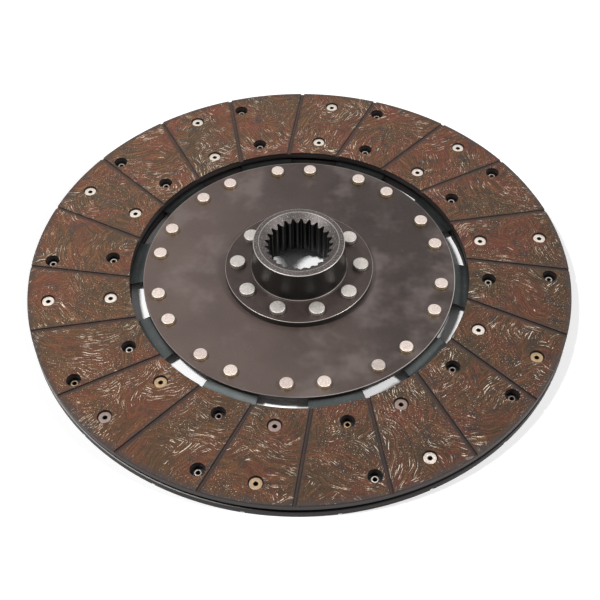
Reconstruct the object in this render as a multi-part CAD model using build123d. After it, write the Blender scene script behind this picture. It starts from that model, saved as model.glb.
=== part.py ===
"""Rigid-centre clutch disc: splined hub, drive plate, ten sprung cushion segments and two riveted facings.

Millimetres and degrees. The origin is the centre of the rear friction face, on the hub's axis, and +Z
points to the hub's nose. Angles run anticlockwise from +X. Zero lies on the slit between two segments.
"""

import math
import os

from build123d import *

# Friction facings
FACING_OUTER_R = 175.0
FACING_INNER_R = 110.0
FACING_THICKNESS = 5.0
GROOVE_COUNT = 20
GROOVE_WIDTH = 2.4
GROOVE_DEPTH = 1.2
GROOVE_OUTER_ANGLE = -4.2  # where the first groove runs out at the rim
GROOVE_SWEEP = 4.7  # how far its inner end is turned on
GROOVE_OVERRUN = 6.0  # how far its cutter runs past both edges

# Cushion segments: one spring sheet each, half of it joggled down to the rear facing
SEGMENT_COUNT = 10
FACING_GAP = 2.5  # free height between the two facings
SHEET = 1.0
SLIT = 0.8
FOOT_INNER_R = 85.5
FOOT_OUTER_R = 98.5
FOOT_ANGLES = (-14.0, 18.0)
FLAG_INNER_R = 113.0
PADDLE_OUTER_R = 172.5
PADDLE_CORNER_R = 5.0
NECK_ANGLES = (-0.6, 18.8)  # from the segment's centre line, a little past the slit
NECK_OUTER_R = 112.0  # the neck narrows here to pass beside the next segment's flag
NECK_BEND_R = (102.5, 108.5)  # the neck steps down between these radii
BEND_RADIUS = 12.0  # rounding of the sheet's bends
JOGGLE_WIDTH = 5.0  # width of the step between the two halves of a paddle
RELIEF_INNER_R = 111.0  # a notch parts the neck from the flag between these radii
RELIEF_OUTER_R = 117.0

# Drive plate
PLATE_OUTER_R = 101.3
PLATE_THICKNESS = 3.0
PLATE_EDGE_CHAMFER = 0.4

# Hub
SPIGOT_R = 27.0
SPIGOT_DROP = 0.5  # how far the spigot stands out below the plate
FLANGE_R = 47.9
FLANGE_THICKNESS = 4.8
COLLAR_R = 31.2  # low collar round the barrel's root
COLLAR_HEIGHT = 1.0
BARREL_ROOT_R = 30.6
BARREL_TOP_R = 29.2
RIM_HEIGHT = 22.2  # barrel's outer edge above the flange
RIDGE_R = 25.6
RIDGE_RISE = 0.9  # the nose rises this much from the outer edge to the ridge
HUB_CHAMFER = 0.5
LEAD_IN_ANGLE = 33.0
REAR_CHAMFER = 3.0

# Internal spline
SPLINE_TEETH = 25
SPLINE_TIP_R = 19.5
SPLINE_ROOT_R = 21.9
SPLINE_PHASE = -4.1
SLOT_MOUTH = 3.8  # width of a slot at the tooth tips
SLOT_FLOOR = 2.0  # width of its round floor

# Rivets: factory head in front, formed head behind
HUB_RIVET_CIRCLE_R = 39.8
HUB_RIVET_COUNT = 10
HUB_RIVET_PHASE = -5.1
HUB_RIVET = {"shank_r": 3.2, "head_r": 5.0, "head_h": 3.2, "tail_r": 4.8, "tail_h": 2.5}

SEGMENT_RIVET_CIRCLE_R = 92.4
SEGMENT_RIVET_SPREAD = 7.06  # either side of the foot's middle
SEGMENT_RIVET_PHASE = -1.0  # from a segment's centre line to its foot's middle
SEGMENT_RIVET = {"shank_r": 2.5, "head_r": 4.25, "head_h": 2.9, "tail_r": 4.1, "tail_h": 2.4}
RIVET_EDGE = 0.4

# Tubular facing rivets, on two circles
OUTER_RIVETS = {"circle_r": 161.95, "spread": 11.96}
INNER_RIVETS = {"circle_r": 122.65, "spread": 9.98}
TUBE_R = 2.3
TUBE_BORE_R = 1.25
TUBE_HEAD_R = 4.0
TUBE_HEAD_THICKNESS = 1.0
TUBE_COLLAR_R = 3.2
TUBE_COLLAR_HEIGHT = 0.7
TUBE_TAIL_LENGTH = 2.9  # past the segment it holds
COUNTERBORE_R = 4.5
HEAD_RECESS = 1.2  # head's top below the friction face

RIVET_HOLE_CLEARANCE = 0.05
OVERRUN = 1.0  # how far cutters and joined outlines run past each other
PITCH = 360 / SEGMENT_COUNT

# Levels, from the rear friction face up
REAR_SHEET_Z = FACING_THICKNESS
FRONT_FACING_Z = FACING_THICKNESS + FACING_GAP
FRONT_SHEET_Z = FRONT_FACING_Z - SHEET
PLATE_Z = FRONT_FACING_Z
FLANGE_Z = PLATE_Z + PLATE_THICKNESS
FLANGE_TOP_Z = FLANGE_Z + FLANGE_THICKNESS
TOTAL_THICKNESS = FRONT_FACING_Z + FACING_THICKNESS
RIM_Z = FLANGE_TOP_Z + RIM_HEIGHT
RIDGE_Z = RIM_Z + RIDGE_RISE
HUB_BOTTOM_Z = PLATE_Z - SPIGOT_DROP


def polar(radius, angle):
    """A point in the plane at a radius and an angle in degrees."""
    return (radius * math.cos(math.radians(angle)), radius * math.sin(math.radians(angle)))


def revolved(points):
    """A solid of revolution about Z from (radius, height) points."""
    outline = Plane.XZ * make_face(Polyline(*points, close=True))
    return revolve(outline, Axis.Z)


def sector(inner_r, outer_r, start, end):
    """A flat piece of ring between two angles, inset by half a slit along both sides."""
    reach = 2 * outer_r
    wedge = make_face(Polyline((0, 0), polar(reach, start), polar(reach, end), close=True))
    return (Circle(outer_r) - Circle(inner_r)) & offset(wedge, -SLIT / 2)


def facing():
    """The front facing, friction face up: slanted grooves, counterbored holes and clearance holes."""
    ring = extrude(Circle(FACING_OUTER_R) - Circle(FACING_INNER_R), FACING_THICKNESS)
    ring = Pos(0, 0, FRONT_FACING_Z) * ring
    cutters = [groove(number) for number in range(GROOVE_COUNT)]
    land_r = TUBE_R + RIVET_HOLE_CLEARANCE
    counterbore_z = TOTAL_THICKNESS - HEAD_RECESS - TUBE_HEAD_THICKNESS
    for row in (OUTER_RIVETS, INNER_RIVETS):
        for centre in range(SEGMENT_COUNT):
            middle = (centre + 0.5) * PITCH
            held = Pos(*polar(row["circle_r"], middle - row["spread"]))
            passed = Pos(*polar(row["circle_r"], middle + row["spread"]))
            cutters.append(held * post(land_r, 0, TOTAL_THICKNESS))
            cutters.append(held * post(COUNTERBORE_R, counterbore_z, TOTAL_THICKNESS + OVERRUN))
            cutters.append(passed * post(COUNTERBORE_R, 0, TOTAL_THICKNESS + OVERRUN))
    return ring - cutters


def groove(number):
    """A cutter for one straight groove, open at both edges of the facing."""
    angle = GROOVE_OUTER_ANGLE + number * 360 / GROOVE_COUNT
    rim = Vector(*polar(FACING_OUTER_R, angle))
    bore = Vector(*polar(FACING_INNER_R, angle + GROOVE_SWEEP))
    run = bore - rim
    cutter = Box(run.length + 2 * GROOVE_OVERRUN, GROOVE_WIDTH, 2 * GROOVE_DEPTH)
    heading = math.degrees(math.atan2(run.Y, run.X))
    middle = (rim + bore) / 2
    return Pos(middle.X, middle.Y, TOTAL_THICKNESS) * Rot(0, 0, heading) * cutter


def post(radius, bottom, top):
    """An upright cylinder between two heights."""
    return Pos(0, 0, bottom) * extrude(Circle(radius), top - bottom)


def turned_over(shape):
    """The same piece on the disc's other side."""
    return Pos(0, 0, TOTAL_THICKNESS) * Rot(180, 0, 0) * shape


def cushion_segment():
    """One segment with its centre line on +X.

    The half at -Y is a flag level with the foot, and carries the front facing. The half at +Y
    steps down from the neck, and carries the rear facing.
    """
    side = PITCH / 2
    width = 2 * math.tan(math.radians(side)) * FACING_OUTER_R
    step = JOGGLE_WIDTH / 2
    across = strip(
        [
            (-width, FRONT_SHEET_Z),
            (-step, FRONT_SHEET_Z),
            (step, REAR_SHEET_Z),
            (width, REAR_SHEET_Z),
        ]
    )
    across = extrude(Plane.YZ * across, FACING_OUTER_R)
    outline = sector(RELIEF_OUTER_R, PADDLE_OUTER_R, -side, side)
    outer_corners = outline.vertices().sort_by(lambda corner: -math.hypot(corner.X, corner.Y))[:2]
    outline = fillet(outer_corners, PADDLE_CORNER_R)
    notch_length = RELIEF_OUTER_R + 2 * OVERRUN - RELIEF_INNER_R
    notch = Rectangle(notch_length, JOGGLE_WIDTH, align=(Align.MIN, Align.CENTER))
    notch = Pos(RELIEF_INNER_R, 0) * notch
    flag_root = sector(FLAG_INNER_R, RELIEF_OUTER_R + OVERRUN, -side, 0) - notch
    paddle = across & extrude(outline + flag_root, TOTAL_THICKNESS)

    bend_start, bend_end = NECK_BEND_R
    chord = math.cos(math.radians(side / 2))  # the bends are straight, so nearer at the neck's middle
    along = strip(
        [
            (0, FRONT_SHEET_Z),
            (bend_start * chord, FRONT_SHEET_Z),
            (bend_end * chord, REAR_SHEET_Z),
            (FACING_OUTER_R, REAR_SHEET_Z),
        ]
    )
    along = extrude(Plane.XZ * along, width, both=True)
    turn = Rot(0, 0, side / 2)
    neck_root_r = FOOT_OUTER_R - OVERRUN
    neck_outline = sector(neck_root_r, NECK_OUTER_R, *NECK_ANGLES)
    neck_outline += sector(neck_root_r, RELIEF_OUTER_R + OVERRUN, 0, side) - notch
    foot_outline = sector(FOOT_INNER_R, FOOT_OUTER_R, *FOOT_ANGLES)
    neck = (turn * along) & extrude(neck_outline + foot_outline, TOTAL_THICKNESS)

    cutters = []
    for spread in (-SEGMENT_RIVET_SPREAD, SEGMENT_RIVET_SPREAD):
        centre = polar(SEGMENT_RIVET_CIRCLE_R, SEGMENT_RIVET_PHASE + spread)
        hole_r = SEGMENT_RIVET["shank_r"] + RIVET_HOLE_CLEARANCE
        cutters.append(Pos(*centre) * post(hole_r, 0, TOTAL_THICKNESS))
    for row in (OUTER_RIVETS, INNER_RIVETS):
        for spread in (-row["spread"], row["spread"]):
            centre = polar(row["circle_r"], spread)
            cutters.append(Pos(*centre) * post(TUBE_R + RIVET_HOLE_CLEARANCE, 0, TOTAL_THICKNESS))
    return (paddle + neck) - cutters


def strip(points):
    """The section of the spring sheet whose underside follows the points, its bends rounded."""
    top = [(across, height + SHEET) for across, height in reversed(points)]
    section = make_face(Polyline(*points, *top, close=True))
    bends = section.vertices().sort_by(Axis.X)[2:-2]
    return fillet(bends, BEND_RADIUS)


def drive_plate():
    """The round steel plate that joins the hub to the segments."""
    plate = revolved(
        [
            (SPIGOT_R + RIVET_HOLE_CLEARANCE, PLATE_Z),
            (PLATE_OUTER_R, PLATE_Z),
            (PLATE_OUTER_R, FLANGE_Z - PLATE_EDGE_CHAMFER),
            (PLATE_OUTER_R - PLATE_EDGE_CHAMFER, FLANGE_Z),
            (SPIGOT_R + RIVET_HOLE_CLEARANCE, FLANGE_Z),
        ]
    )
    hub_hole = post(HUB_RIVET["shank_r"] + RIVET_HOLE_CLEARANCE, 0, FLANGE_TOP_Z)
    segment_hole = post(SEGMENT_RIVET["shank_r"] + RIVET_HOLE_CLEARANCE, 0, FLANGE_TOP_Z)
    holes = [place * hub_hole for place in hub_rivet_places()]
    holes += [place * segment_hole for place in segment_rivet_places()]
    return plate - holes


def hub():
    """The splined hub: rear spigot, riveted flange, tapered barrel and a nose with a conical lead-in."""
    body = revolved(
        [
            (0, HUB_BOTTOM_Z),
            (SPIGOT_R - HUB_CHAMFER, HUB_BOTTOM_Z),
            (SPIGOT_R, HUB_BOTTOM_Z + HUB_CHAMFER),
            (SPIGOT_R, FLANGE_Z),
            (FLANGE_R, FLANGE_Z),
            (FLANGE_R, FLANGE_TOP_Z - HUB_CHAMFER),
            (FLANGE_R - HUB_CHAMFER, FLANGE_TOP_Z),
            (COLLAR_R, FLANGE_TOP_Z),
            (COLLAR_R, FLANGE_TOP_Z + COLLAR_HEIGHT),
            (BARREL_ROOT_R, FLANGE_TOP_Z + COLLAR_HEIGHT + HUB_CHAMFER),
            (BARREL_TOP_R, RIM_Z - HUB_CHAMFER),
            (BARREL_TOP_R - HUB_CHAMFER, RIM_Z),
            (RIDGE_R, RIDGE_Z),
            (0, RIDGE_Z),
        ]
    )
    lead_in_depth = RIDGE_R * math.tan(math.radians(LEAD_IN_ANGLE))
    lead_in = revolved([(0, RIDGE_Z - lead_in_depth), (RIDGE_R, RIDGE_Z), (0, RIDGE_Z)])
    rear_r = SPLINE_TIP_R + REAR_CHAMFER
    rear = revolved([(0, HUB_BOTTOM_Z), (rear_r, HUB_BOTTOM_Z), (0, HUB_BOTTOM_Z + rear_r)])
    bore = Pos(0, 0, HUB_BOTTOM_Z) * extrude(spline_outline(), RIDGE_Z - HUB_BOTTOM_Z)
    hole = post(HUB_RIVET["shank_r"] + RIVET_HOLE_CLEARANCE, 0, FLANGE_TOP_Z + OVERRUN)
    return body - [lead_in, rear, bore] - [place * hole for place in hub_rivet_places()]


def spline_outline():
    """The bore's section: a round hole at the tooth tips, with a tapered slot between each two teeth."""
    half_mouth = SLOT_MOUTH / 2
    half_floor = SLOT_FLOOR / 2
    mouth_r = math.sqrt(SPLINE_TIP_R**2 - half_mouth**2)
    flank_end_r = SPLINE_ROOT_R - half_floor
    slot_edges = [
        Polyline((0, -half_mouth), (mouth_r, -half_mouth), (flank_end_r, -half_floor)),
        RadiusArc((flank_end_r, -half_floor), (flank_end_r, half_floor), -half_floor),
        Polyline((flank_end_r, half_floor), (mouth_r, half_mouth), (0, half_mouth), (0, -half_mouth)),
    ]
    slot = make_face(slot_edges)
    turns = [SPLINE_PHASE + number * 360 / SPLINE_TEETH for number in range(SPLINE_TEETH)]
    return Circle(SPLINE_TIP_R) + [Rot(0, 0, turn) * slot for turn in turns]


def hub_rivet_places():
    """Where the rivets through the hub's flange stand."""
    angles = [HUB_RIVET_PHASE + number * 360 / HUB_RIVET_COUNT for number in range(HUB_RIVET_COUNT)]
    return [Pos(*polar(HUB_RIVET_CIRCLE_R, angle)) for angle in angles]


def segment_rivet_places():
    """Where the rivets through the plate and the segments' feet stand, two to a segment."""
    places = []
    for number in range(SEGMENT_COUNT):
        middle = (number + 0.5) * PITCH + SEGMENT_RIVET_PHASE
        for spread in (-SEGMENT_RIVET_SPREAD, SEGMENT_RIVET_SPREAD):
            places.append(Pos(*polar(SEGMENT_RIVET_CIRCLE_R, middle + spread)))
    return places


def solid_rivet(sizes, grip_bottom, grip_top):
    """A solid rivet: flat cylindrical head above the grip and a formed head below it."""
    head_top = grip_top + sizes["head_h"]
    tail_bottom = grip_bottom - sizes["tail_h"]
    return revolved(
        [
            (0, tail_bottom),
            (sizes["tail_r"] - RIVET_EDGE, tail_bottom),
            (sizes["tail_r"], tail_bottom + RIVET_EDGE),
            (sizes["tail_r"], grip_bottom),
            (sizes["shank_r"], grip_bottom),
            (sizes["shank_r"], grip_top),
            (sizes["head_r"], grip_top),
            (sizes["head_r"], head_top - RIVET_EDGE),
            (sizes["head_r"] - RIVET_EDGE, head_top),
            (0, head_top),
        ]
    )


def facing_rivet():
    """A tubular rivet of the front facing: flat head in its counterbore, tail swaged under the segment."""
    head_top = TOTAL_THICKNESS - HEAD_RECESS
    head_bottom = head_top - TUBE_HEAD_THICKNESS
    collar_bottom = FRONT_SHEET_Z - TUBE_COLLAR_HEIGHT
    tail_bottom = FRONT_SHEET_Z - TUBE_TAIL_LENGTH
    return revolved(
        [
            (TUBE_BORE_R, tail_bottom),
            (TUBE_R, tail_bottom),
            (TUBE_R, collar_bottom),
            (TUBE_COLLAR_R, collar_bottom),
            (TUBE_COLLAR_R, FRONT_SHEET_Z),
            (TUBE_R, FRONT_SHEET_Z),
            (TUBE_R, head_bottom),
            (TUBE_HEAD_R, head_bottom),
            (TUBE_HEAD_R, head_top),
            (TUBE_BORE_R, head_top),
        ]
    )


def facing_rivet_ring(row):
    """The front facing's rivets on one circle, one to a segment."""
    rivet = facing_rivet()
    angles = [(number + 0.5) * PITCH - row["spread"] for number in range(SEGMENT_COUNT)]
    return Compound([Pos(*polar(row["circle_r"], angle)) * rivet for angle in angles])


def nodes():
    """Every separate piece of the disc, by name."""
    front_facing = facing()
    outer_rivets = facing_rivet_ring(OUTER_RIVETS)
    inner_rivets = facing_rivet_ring(INNER_RIVETS)
    hub_rivet = solid_rivet(HUB_RIVET, PLATE_Z, FLANGE_TOP_Z)
    segment_rivet = solid_rivet(SEGMENT_RIVET, FRONT_SHEET_Z, FLANGE_Z)
    pieces = {
        "hub": hub(),
        "drive_plate": drive_plate(),
        "front_facing": front_facing,
        "rear_facing": turned_over(front_facing),
        "hub_rivets": Compound([place * hub_rivet for place in hub_rivet_places()]),
        "segment_rivets": Compound([place * segment_rivet for place in segment_rivet_places()]),
        "front_facing_rivets_outer": outer_rivets,
        "front_facing_rivets_inner": inner_rivets,
        "rear_facing_rivets_outer": turned_over(outer_rivets),
        "rear_facing_rivets_inner": turned_over(inner_rivets),
    }
    segment = cushion_segment()
    for number in range(SEGMENT_COUNT):
        pieces[f"cushion_segment_{number + 1:02d}"] = Rot(0, 0, (number + 0.5) * PITCH) * segment
    return pieces


os.makedirs("parts", exist_ok=True)
for name, piece in nodes().items():
    export_step(piece, f"parts/{name}.step")
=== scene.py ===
"""Clutch disc: a rigid-centre disc with ten cushion segments and two grooved, riveted facings.

The file is laid out as an add-on. Run as a script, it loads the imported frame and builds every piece
around it. Sizes are metres in Blender's scene, written here in millimetres times MM.
"""

import math

import bmesh
import bpy
from bpy.props import FloatProperty, FloatVectorProperty, IntProperty, PointerProperty
from mathutils import Matrix, Vector


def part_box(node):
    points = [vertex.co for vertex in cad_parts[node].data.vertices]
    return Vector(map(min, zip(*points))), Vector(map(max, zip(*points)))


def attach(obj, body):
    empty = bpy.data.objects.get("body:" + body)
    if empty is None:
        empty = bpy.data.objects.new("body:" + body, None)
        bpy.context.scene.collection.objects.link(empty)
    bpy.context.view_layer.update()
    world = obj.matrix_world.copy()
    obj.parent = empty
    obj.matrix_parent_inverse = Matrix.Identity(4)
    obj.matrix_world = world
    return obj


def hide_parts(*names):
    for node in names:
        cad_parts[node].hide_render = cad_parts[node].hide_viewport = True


bl_info = {
    "name": "Clutch Disc",
    "version": (1, 0, 0),
    "blender": (4, 5, 0),
    "location": "View3D > Sidebar > Clutch Disc",
    "description": "Builds the finished pieces of a rigid-centre clutch disc",
    "category": "Object",
}

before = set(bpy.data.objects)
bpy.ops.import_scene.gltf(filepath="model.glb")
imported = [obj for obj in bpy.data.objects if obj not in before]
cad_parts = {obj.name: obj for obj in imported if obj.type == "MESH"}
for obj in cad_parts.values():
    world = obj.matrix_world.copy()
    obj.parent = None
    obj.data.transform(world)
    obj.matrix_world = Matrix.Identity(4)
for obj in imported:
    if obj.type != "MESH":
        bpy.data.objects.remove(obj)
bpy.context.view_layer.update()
BODY = "root"
MM = 0.001
WELD = 0.002 * MM  # points nearer than this are one point
FULL_TURN = 2 * math.pi

FACING_LOW, FACING_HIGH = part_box("front_facing")
PLATE_LOW, PLATE_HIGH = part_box("drive_plate")
HUB_LOW, HUB_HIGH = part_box("hub")
SEGMENT_LOW, SEGMENT_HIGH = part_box("cushion_segment_01")
SEGMENT_NODES = sorted(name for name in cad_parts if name.startswith("cushion_segment"))
DISC_THICKNESS = FACING_HIGH.z
HUB_RIVET_SEED = 3
FOOT_RIVET_SEED = 5
SHADE_SEED = 7  # keeps the rivets' shades unlike their turns
TURNED_OVER = Matrix.Translation((0, 0, DISC_THICKNESS)) @ Matrix.Rotation(math.pi, 4, "X")

SEGMENT_OUTER_RADIUS = 172.5 * MM
SHEET = 1.0 * MM  # the segments' spring sheet
CONE_MARGIN = 0.5 * MM  # from the spline's root to the first turned point on a cone
CROWN = 0.12 * MM  # rise of a solid rivet's head towards its middle
CROWN_FALL = 0.3 * CROWN  # how much of the crown is lost half way out
LONGEST_FILLET = 0.45  # of the shorter side that meets a rounded corner
TUBE_LEAD_IN = 0.3 * MM  # widening of a tubular rivet's bore at its head
TUBE_LEAD_IN_DEPTH = 0.5 * MM
TUBE_EDGE = 0.35 * MM  # rounding of a tubular rivet's rolled edges
PLATE_SEAM = math.radians(3)  # a line across the plate that meets no hole
SHARP_ANGLE = math.radians(50)  # edges that turn by more than this stay sharp

PAD_STEPS = 12  # points along one pad's arc
PLATE_STEPS = 24
BEND_STEPS = 10
CORNER_STEPS = 6
FOOT_STEPS = 16
NECK_STEPS = 8
FLAG_STEPS = 10
NOTCH_STEPS = 4
PADDLE_STEPS = 24
CIRCLE_STEPS = 32
ROUNDING_STEPS = 3
RIVET_STEPS = 40
TUBE_STEPS = 32

KEY_DIRECTION = (-0.52, -0.12, 1)  # from the disc to the main lamp
SIDE_DIRECTION = (0.9, -0.25, 1)
FLOOR_GREY = 0.88
FLOOR_FADE = 2 * MM  # width of the change at the edge of the floor below the disc
FLOOR_DROP = 0.02 * MM  # keeps the floor clear of the face that lies on it
FLOOR_HALF_WIDTH = 3
FLOOR_LIFT_START = 0.35  # radius from which the floor pales towards the horizon
FLOOR_LIFT_END = 1.0
CAMERA_REACH = 20  # metres within which the camera sees


# ---- settings


def length(description, millimetres):
    """A length that a user may change."""
    default = millimetres * MM
    return FloatProperty(description=description, default=default, min=0, precision=5, unit="LENGTH")


def angle(description, degrees):
    """An angle that a user may change."""
    return FloatProperty(description=description, default=math.radians(degrees), subtype="ANGLE")


def colour(description, rgb):
    """A colour that a user may change, in linear light."""
    return FloatVectorProperty(description=description, default=rgb, min=0, max=1, subtype="COLOR")


def plain_number(description, default):
    """A plain number that a user may change."""
    return FloatProperty(description=description, default=default)


def whole_number(description, default):
    """A number of like parts, at least three."""
    return IntProperty(description=description, default=default, min=3)


def named(group):
    """Names each setting of a group after its identifier: outer_radius is shown as Outer radius."""
    for identifier, setting in group.__annotations__.items():
        setting.keywords["name"] = identifier.replace("_", " ").capitalize()
    return group


@named
class FacingSizes(bpy.types.PropertyGroup):
    """Sizes of the moulded facings."""

    outer_radius: length("Radius of the facing's rim", FACING_HIGH.x / MM)
    inner_radius: length("Radius of the facing's hole", 110)
    groove_width: length("Width of one groove", 2.4)
    groove_depth: length("Depth of one groove", 1.2)
    groove_angle: angle("Where the first groove runs out at the rim", -4.2)
    groove_sweep: angle("How far a groove's inner end is turned on", 4.7)
    edge: length("Width of the broken edge round every outline", 0.25)
    outer_circle: length("Radius of the outer circle of rivets", 161.95)
    outer_spread: angle("Angle from a segment's middle to its outer rivets", 11.96)
    inner_circle: length("Radius of the inner circle of rivets", 122.65)
    inner_spread: angle("Angle from a segment's middle to its inner rivets", 9.98)
    counterbore: length("Radius of the counterbores and clearance holes", 4.5)
    land_hole: length("Radius of the hole that a rivet fills", 2.35)
    land_depth: length("Depth of a counterbore's floor", 2.2)


@named
class SegmentSizes(bpy.types.PropertyGroup):
    """Sizes of the sprung cushion segments."""

    count: whole_number("Number of segments in the ring", len(SEGMENT_NODES))
    sheet: length("Thickness of the spring sheet", SHEET / MM)
    slit: length("Gap between two segments", 0.8)
    foot_inner: length("Inner edge of the riveted foot", 85.5)
    foot_outer: length("Outer edge of the riveted foot", 98.5)
    foot_start: angle("Where the foot starts, from the segment's middle", -14)
    neck_start: angle("Where the neck starts, from the segment's middle", -0.6)
    neck_end: angle("Where the neck ends, from the segment's middle", 18.8)
    neck_outer: length("Where the neck narrows", 112)
    bend_start: length("Radius at which the neck starts to step down", 102)
    bend_end: length("Radius at which the neck is down", 109)
    flag_inner: length("Inner edge of the front facing's half", 113)
    notch_start: length("Where the notch between neck and flag starts", 111)
    notch_end: length("Where the notch between neck and flag ends", 117)
    joggle: length("Width of the step between the segment's two halves", 5)
    outer_radius: length("Outer edge of the segment", SEGMENT_OUTER_RADIUS / MM)
    corner: length("Rounding of the two outer corners", 5)


@named
class PlateSizes(bpy.types.PropertyGroup):
    """Sizes of the drive plate."""

    outer_radius: length("Radius of the plate", PLATE_HIGH.x / MM)
    hub_hole: length("Radius of the hole round the hub's spigot", 27.05)
    edge: length("Rounding of the plate's edges", 0.35)


@named
class HubSizes(bpy.types.PropertyGroup):
    """Sizes of the splined hub."""

    spigot: length("Radius of the spigot in the plate", 27)
    flange: length("Radius of the riveted flange", HUB_HIGH.x / MM)
    flange_top: length("Height of the flange's top", 15.3)
    collar: length("Radius of the collar round the barrel's root", 31.2)
    collar_height: length("Height of the collar above the flange", 1.0)
    barrel_root: length("Barrel's radius above the collar", 30.6)
    barrel_top: length("Barrel's radius at its top edge", 29.2)
    rim: length("Height of the barrel's top edge", 37.5)
    ridge: length("Radius of the highest edge, where the lead-in starts", 25.6)
    lead_in: angle("Slope of the conical lead-in", 33)
    rear_chamfer: length("Chamfer of the bore's rear end", 3.0)
    teeth: whole_number("Number of spline teeth", 25)
    phase: angle("Angle of the first slot", -4.1)
    tip: length("Radius over the tooth tips", 19.5)
    root: length("Radius over the slot floors", 21.9)
    slot_mouth: length("Width of a slot at the tooth tips", 3.8)
    slot_floor: length("Width of a slot's rounded floor", 2.0)
    edge: length("Rounding of the turned edges", 0.45)


@named
class RivetSizes(bpy.types.PropertyGroup):
    """Sizes and places of the solid rivets and the tubular ones."""

    hub_circle: length("Radius of the circle of hub rivets", 39.8)
    hub_phase: angle("Angle of the first hub rivet", -5.1)
    hub_head: length("Radius of a hub rivet's head", 5.0)
    hub_head_height: length("Height of a hub rivet's head", 3.2)
    hub_tail: length("Radius of a hub rivet's formed head", 4.8)
    hub_tail_height: length("Height of a hub rivet's formed head", 2.5)
    hub_shank: length("Radius of a hub rivet's shank", 3.2)
    foot_circle: length("Radius of the circle of segment rivets", 92.4)
    foot_spread: angle("Angle from a foot's middle to its rivets", 7.06)
    foot_phase: angle("Angle from a segment's middle to its foot's middle", -1.0)
    foot_head: length("Radius of a segment rivet's head", 4.25)
    foot_head_height: length("Height of a segment rivet's head", 2.9)
    foot_tail: length("Radius of a segment rivet's formed head", 4.1)
    foot_tail_height: length("Height of a segment rivet's formed head", 2.4)
    foot_shank: length("Radius of a segment rivet's shank", 2.5)
    hole_clearance: length("Gap round a rivet's shank", 0.05)
    edge: length("Rounding of the heads' edges", 0.4)
    tube: length("Radius of a tubular rivet", 2.3)
    tube_bore: length("Bore radius of a tubular rivet", 1.25)
    tube_head: length("Radius of a tubular rivet's head", 4.0)
    tube_head_thickness: length("Thickness of a tubular rivet's head", 1.0)
    tube_recess: length("Depth of a tubular rivet's head below the friction face", 1.2)
    tube_collar: length("Radius of a tubular rivet's swaged collar", 3.2)
    tube_collar_height: length("Height of a tubular rivet's swaged collar", 0.7)
    tube_tail: length("Length of a tubular rivet's tail past the segment", 2.9)


@named
class DiscColours(bpy.types.PropertyGroup):
    """Base colours of the finishes."""

    lining_brown: colour("Main colour of the woven lining", (0.122, 0.062, 0.039))
    lining_gold: colour("Golden yarns", (0.200, 0.096, 0.044))
    lining_rust: colour("Reddish yarns", (0.175, 0.058, 0.041))
    lining_olive: colour("Olive yarns", (0.074, 0.058, 0.037))
    lining_grey: colour("Resin-rich places", (0.062, 0.050, 0.046))
    lining_wire: colour("Cut brass wire and glass in the yarns", (0.860, 0.740, 0.600))
    lining_wall: colour("Moulded walls and grooves", (0.032, 0.025, 0.025))
    plate: colour("Dark oiled plate steel", (0.078, 0.055, 0.048))
    plate_smoke: colour("Pale smears on the plate", (0.200, 0.160, 0.148))
    plate_dust: colour("Dust and small scratches on the plate", (0.300, 0.250, 0.220))
    # Also the colour of painted highlights along rims and edges.
    worn_edge: colour("Steel that shows through on rubbed edges", (0.600, 0.550, 0.520))
    spring: colour("Tempered spring steel", (0.052, 0.058, 0.057))
    hub: colour("Dark phosphated hub", (0.024, 0.022, 0.020))
    hub_nose: colour("Machined nose and cones of the hub", (0.080, 0.066, 0.063))
    rivet: colour("Heads of the segment rivets", (0.700, 0.600, 0.545))
    rivet_pink: colour("Worn heads of the segment rivets", (0.600, 0.500, 0.460))
    rivet_dull: colour("The dullest rivet heads", (0.480, 0.410, 0.375))
    # The segment rivets' sides, which the rivet material darkens as painted shade.
    rivet_side: colour("Passivated sides of the segment rivets", (0.700, 0.560, 0.340))
    hub_rivet: colour("Heads of the hub rivets", (0.570, 0.535, 0.495))
    tube: colour("Plated tubular rivets", (0.760, 0.680, 0.600))
    dull_tin: colour("Plating that has gone grey", (0.300, 0.225, 0.200))
    tarnish: colour("Plating that has gone yellow", (0.440, 0.310, 0.185))


@named
class StageSizes(bpy.types.PropertyGroup):
    """The camera, the lamps and the floor."""

    yaw: angle("How far camera and lights are turned about the disc's axis", -2.94)
    elevation: angle("Camera's angle above the floor", 50.01)
    roll: angle("Camera's turn about its own axis", -0.541)
    distance: length("From the camera to the point that it looks at", 711.8)
    aim_x: plain_number("Sideways place of the point looked at, in metres", 0.37 * MM)
    aim_y: plain_number("Depth of the point looked at, in metres", -27.2 * MM)
    lens: plain_number("Focal length for a 36 mm sensor, in millimetres", 67.27)
    key_power: plain_number("Power of the main lamp, in watts", 17)
    side_power: plain_number("Power of the lamp at the right, in watts", 14)
    lamp_size: length("Width of both lamps", 200)
    lamp_distance: length("From the disc to both lamps", 1600)
    fill: plain_number("Strength of the sky's light on the object", 0.14)
    floor_boost: plain_number("Extra white of the seen floor below the disc", 0.5)
    floor_lift: plain_number("Light added to the seen floor beside the disc", 0.3)


# ---- node trees


class Term:
    """One output socket in a tree under construction; arithmetic on it adds Math nodes."""

    def __init__(self, graph, socket):
        self.graph = graph
        self.socket = socket

    def __add__(self, other):
        return self.graph.maths("ADD", self, other)

    def __sub__(self, other):
        return self.graph.maths("SUBTRACT", self, other)

    def __rsub__(self, other):
        return self.graph.maths("SUBTRACT", other, self)

    def __mul__(self, other):
        return self.graph.maths("MULTIPLY", self, other)

    def __truediv__(self, other):
        return self.graph.maths("DIVIDE", self, other)

    def __rtruediv__(self, other):
        return self.graph.maths("DIVIDE", other, self)

    __radd__ = __add__
    __rmul__ = __mul__


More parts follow.
